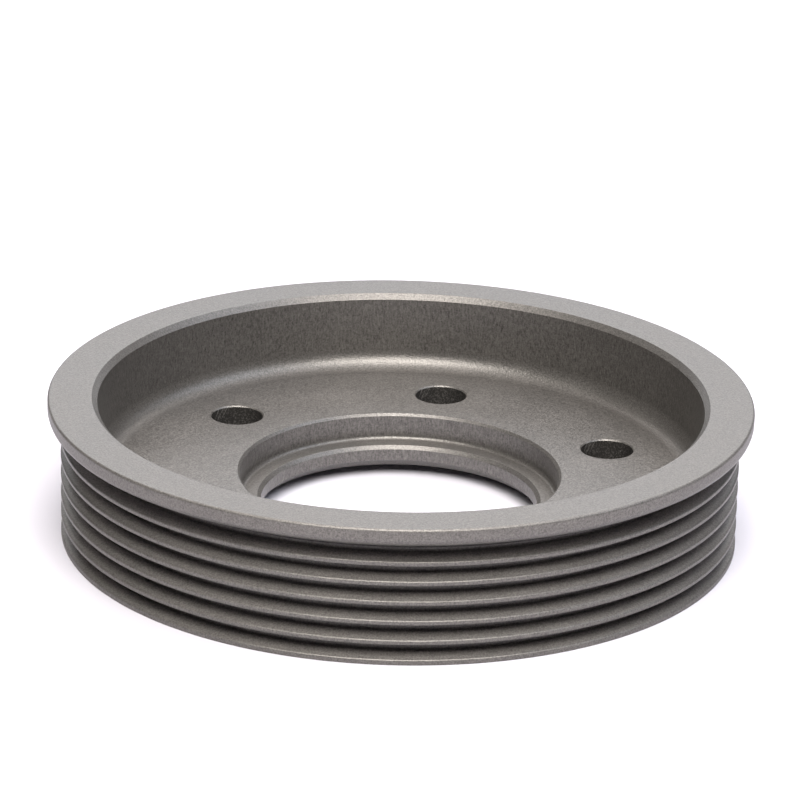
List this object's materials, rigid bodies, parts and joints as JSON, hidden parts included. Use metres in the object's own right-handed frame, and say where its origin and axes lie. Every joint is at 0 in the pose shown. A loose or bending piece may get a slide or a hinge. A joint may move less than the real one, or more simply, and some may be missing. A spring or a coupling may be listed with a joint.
{
  "type": "supercharger drive pulley",
  "caption": "One-piece ribbed belt pulley with a top belt flange, a deep dished front, a stepped pilot bore and a ring of bolt holes through its web.",
  "frame": {"origin": "centre of the rim's foot, the flat ring that the pulley stands on, on the pulley's axis", "axes": "+Z along the pulley's axis from the rim's foot up to the belt flange; +X and +Y in the plane of the foot, with one bolt hole 19.3 degrees round from +X towards +Y"},
  "size_m": [0.126, 0.126, 0.0255],
  "materials": {
    "anodised_aluminium": "fine bead-blasted and hard-anodised satin, warm grey, with faint turning lines on the grooves and walls"
  },
  "bodies": {
    "root": {"pulley": "anodised_aluminium"}
  },
  "joints": []
}
